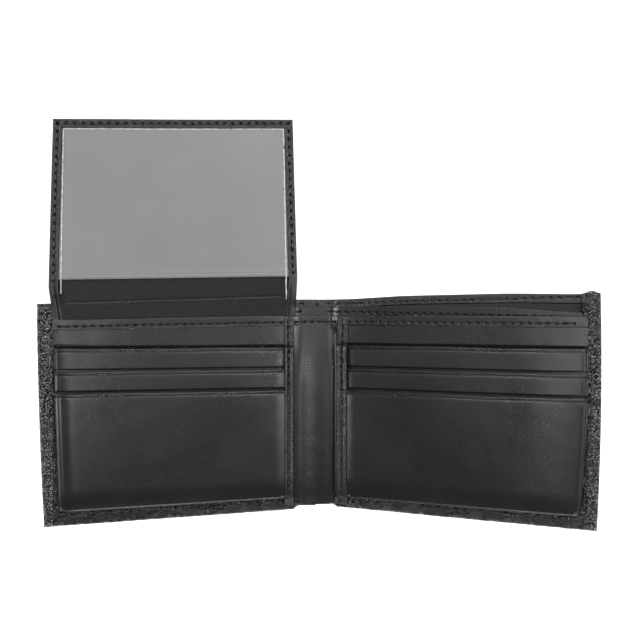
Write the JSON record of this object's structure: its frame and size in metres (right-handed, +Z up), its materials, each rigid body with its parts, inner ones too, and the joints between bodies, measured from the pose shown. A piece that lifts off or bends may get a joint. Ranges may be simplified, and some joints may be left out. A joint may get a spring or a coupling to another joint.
{
  "type": "bifold wallet with ID flap",
  "caption": "Open leather billfold: two hinged halves with card slots and a flip-up ID window flap that folds down onto one half.",
  "frame": {"origin": "middle of the wallet's bounding box seen from above, on the surface that it lies on", "axes": "+X along the open width from the half with the flap to the plain half, +Y from the bottom edge towards the flap's free edge, +Z up out of the open inside"},
  "size_m": [0.22, 0.1656, 0.0415],
  "materials": {
    "smooth_leather": "smooth satin black leather, fine grain",
    "grained_leather": "glossy pebble-grained black leather with turned edges",
    "lining_fabric": "black twill lining",
    "thread": "black polyester sewing thread",
    "window_vinyl": "hazy grey vinyl sheet, soft sheen",
    "raw_edge": "pale cut edge of the window's backing"
  },
  "bodies": {
    "spine": {"cover_spine": "grained_leather", "cover_lining_spine": "lining_fabric", "divider_spine": "smooth_leather", "front_wall_spine": "smooth_leather"},
    "left_half": {"cover_left": "grained_leather", "cover_lining_left": "lining_fabric", "divider_left": "smooth_leather", "front_wall_left": "smooth_leather", "left_card_slot_1": "smooth_leather", "left_slot_lining_1": "lining_fabric", "left_card_slot_2": "smooth_leather", "left_slot_lining_2": "lining_fabric", "left_card_pocket": "smooth_leather", "left_inner_binding": "smooth_leather", "left_front_wall_stitching": "thread", "left_divider_stitching": "thread", "left_cover_hem_stitching": "thread", "left_inner_stitching": "thread", "left_outer_stitching": "thread", "flap_anchor_tab": "lining_fabric"},
    "right_half": {"cover_right": "grained_leather", "cover_lining_right": "lining_fabric", "divider_right": "smooth_leather", "front_wall_right": "smooth_leather", "right_card_slot_1": "smooth_leather", "right_slot_lining_1": "lining_fabric", "right_card_slot_2": "smooth_leather", "right_slot_lining_2": "lining_fabric", "right_card_pocket": "smooth_leather", "right_inner_binding": "smooth_leather", "right_front_wall_stitching": "thread", "right_divider_stitching": "thread", "right_cover_hem_stitching": "thread", "right_inner_stitching": "thread", "right_outer_stitching": "thread"},
    "flap": {"flap_leather": "grained_leather", "flap_hinge_strip": "smooth_leather", "flap_lining": "lining_fabric", "flap_window": "window_vinyl", "flap_window_edging": "raw_edge", "flap_stitching": "thread"}
  },
  "joints": [
    {"name": "left_fold", "type": "hinge", "parent": "spine", "child": "left_half", "pos_m": [-0.0038, -0.03659, 0.0043], "axis": [0, 1, 0], "range_deg": [-10, 80]},
    {"name": "right_fold", "type": "hinge", "parent": "spine", "child": "right_half", "pos_m": [0.0062, -0.03659, 0.0043], "axis": [0, -1, 0], "range_deg": [-20, 70]},
    {"name": "flap_fold", "type": "hinge", "parent": "left_half", "child": "flap", "pos_m": [-0.0527, 0.00211, 0.01495], "axis": [0.9848, 0, -0.1736], "range_deg": [0, 180]}
  ]
}
